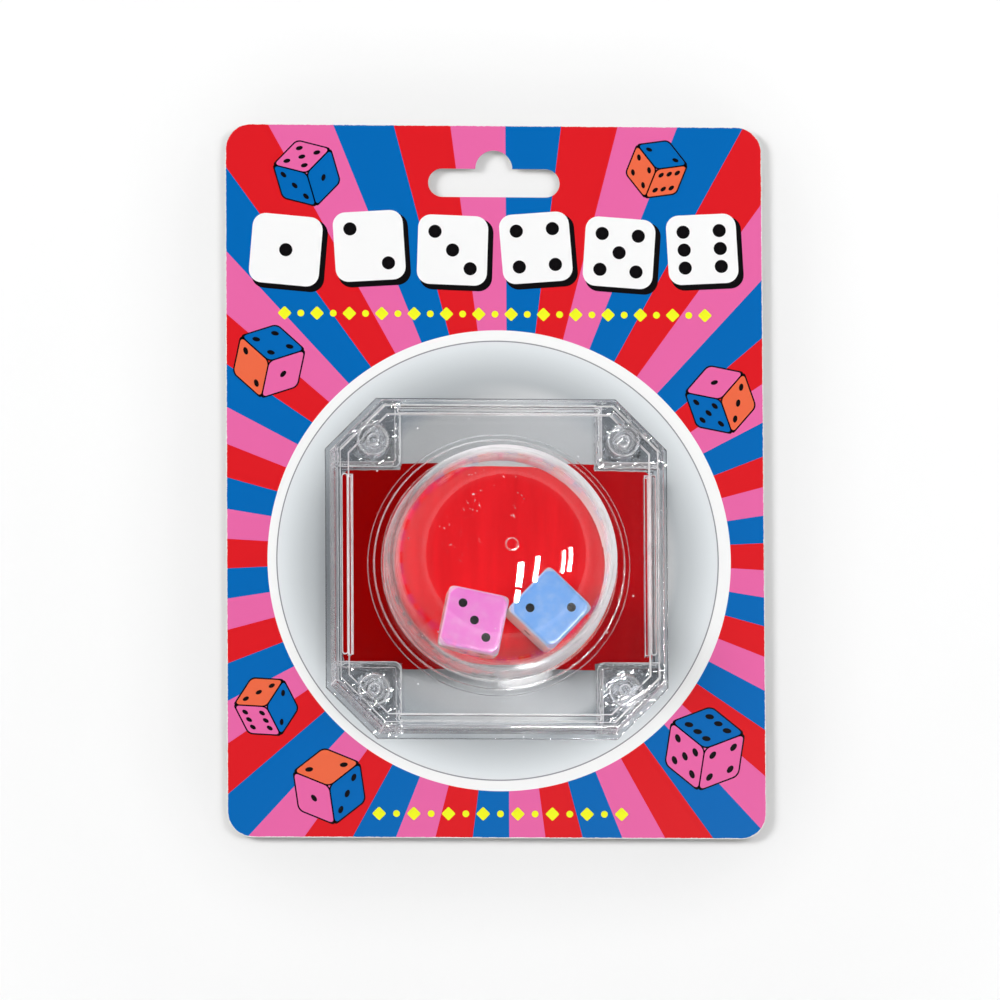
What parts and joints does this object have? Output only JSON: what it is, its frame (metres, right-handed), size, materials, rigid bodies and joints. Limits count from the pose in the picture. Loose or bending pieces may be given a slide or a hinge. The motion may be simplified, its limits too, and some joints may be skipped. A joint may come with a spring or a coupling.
{
  "type": "pop up dice board game",
  "caption": "Carded pop-up dice game: a hanging card with a euro hole carries a clear octagonal popper whose sprung dome throws two loose dice off a bowed red tin sheet.",
  "frame": {"origin": "middle of the card's back face", "axes": "+Z out of the card's printed face, +Y towards the hang hole, +X to the right seen from the front"},
  "size_m": [0.1334, 0.1778, 0.0494],
  "materials": {
    "card_board": "gloss-coated printed board",
    "glue": "clear soft adhesive",
    "clear_plastic": "clear moulded polystyrene, polished",
    "red_tin": "gloss red lacquer on thin spring tin",
    "pink_die": "gloss",
    "blue_die": "gloss"
  },
  "bodies": {
    "base": {"backing_card": "card_board", "glue_dot_1": "glue", "glue_dot_2": "glue", "glue_dot_3": "glue", "glue_dot_4": "glue", "base_tray": "clear_plastic", "top_cover": "clear_plastic", "spring_sheet": "red_tin"},
    "dome": {"dome": "clear_plastic"},
    "die_pink": {"die_pink": "pink_die"},
    "die_blue": {"die_blue": "blue_die"}
  },
  "joints": [
    {"name": "dome_press", "type": "slide", "parent": "base", "child": "dome", "axis": [0, 0, -1], "range_m": [0, 0.0018], "stiffness_N_per_m": 3000, "springref_m": -0.001, "deforming": ["spring_sheet"]},
    {"name": "pink_die_hop", "type": "slide", "parent": "base", "child": "die_pink", "axis": [0, 0, 1], "range_m": [0, 0.005]},
    {"name": "blue_die_hop", "type": "slide", "parent": "base", "child": "die_blue", "axis": [0, 0, 1], "range_m": [0, 0.005]}
  ]
}
